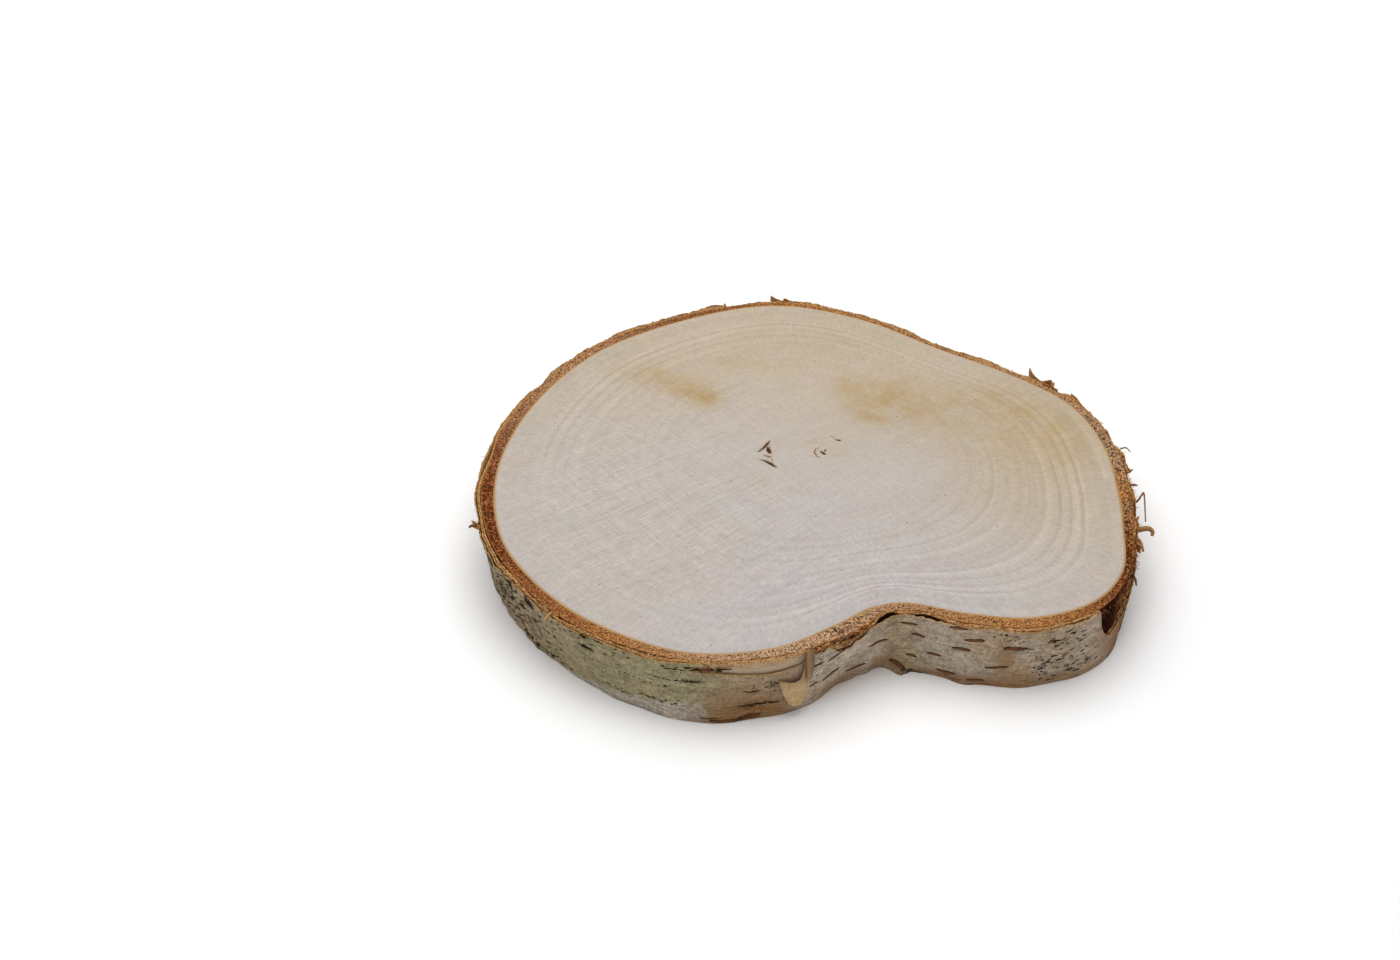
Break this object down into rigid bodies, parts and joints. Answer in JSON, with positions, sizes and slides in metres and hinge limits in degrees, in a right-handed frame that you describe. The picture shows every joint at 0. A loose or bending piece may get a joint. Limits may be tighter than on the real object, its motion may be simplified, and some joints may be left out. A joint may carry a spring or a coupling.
{
  "type": "birch wood slice",
  "caption": "Thin sawn slice across a birch stem where it begins to fork: pale ringed wood, brown inner bark and papery outer bark, lying flat as a base or decoration.",
  "frame": {"origin": "middle of the slice's box, on the lower sawn face", "axes": "+Z along the stem, up from the lower sawn face to the upper one; +X along the slice's longest extent, with the notch of the fork on the -Y side"},
  "size_m": [0.1998, 0.1712, 0.022],
  "materials": {
    "wood": "matte",
    "inner_bark": "matte",
    "outer_bark": "matte"
  },
  "bodies": {
    "root": {"wood": "wood", "inner_bark": "inner_bark", "outer_bark": "outer_bark"}
  },
  "joints": []
}
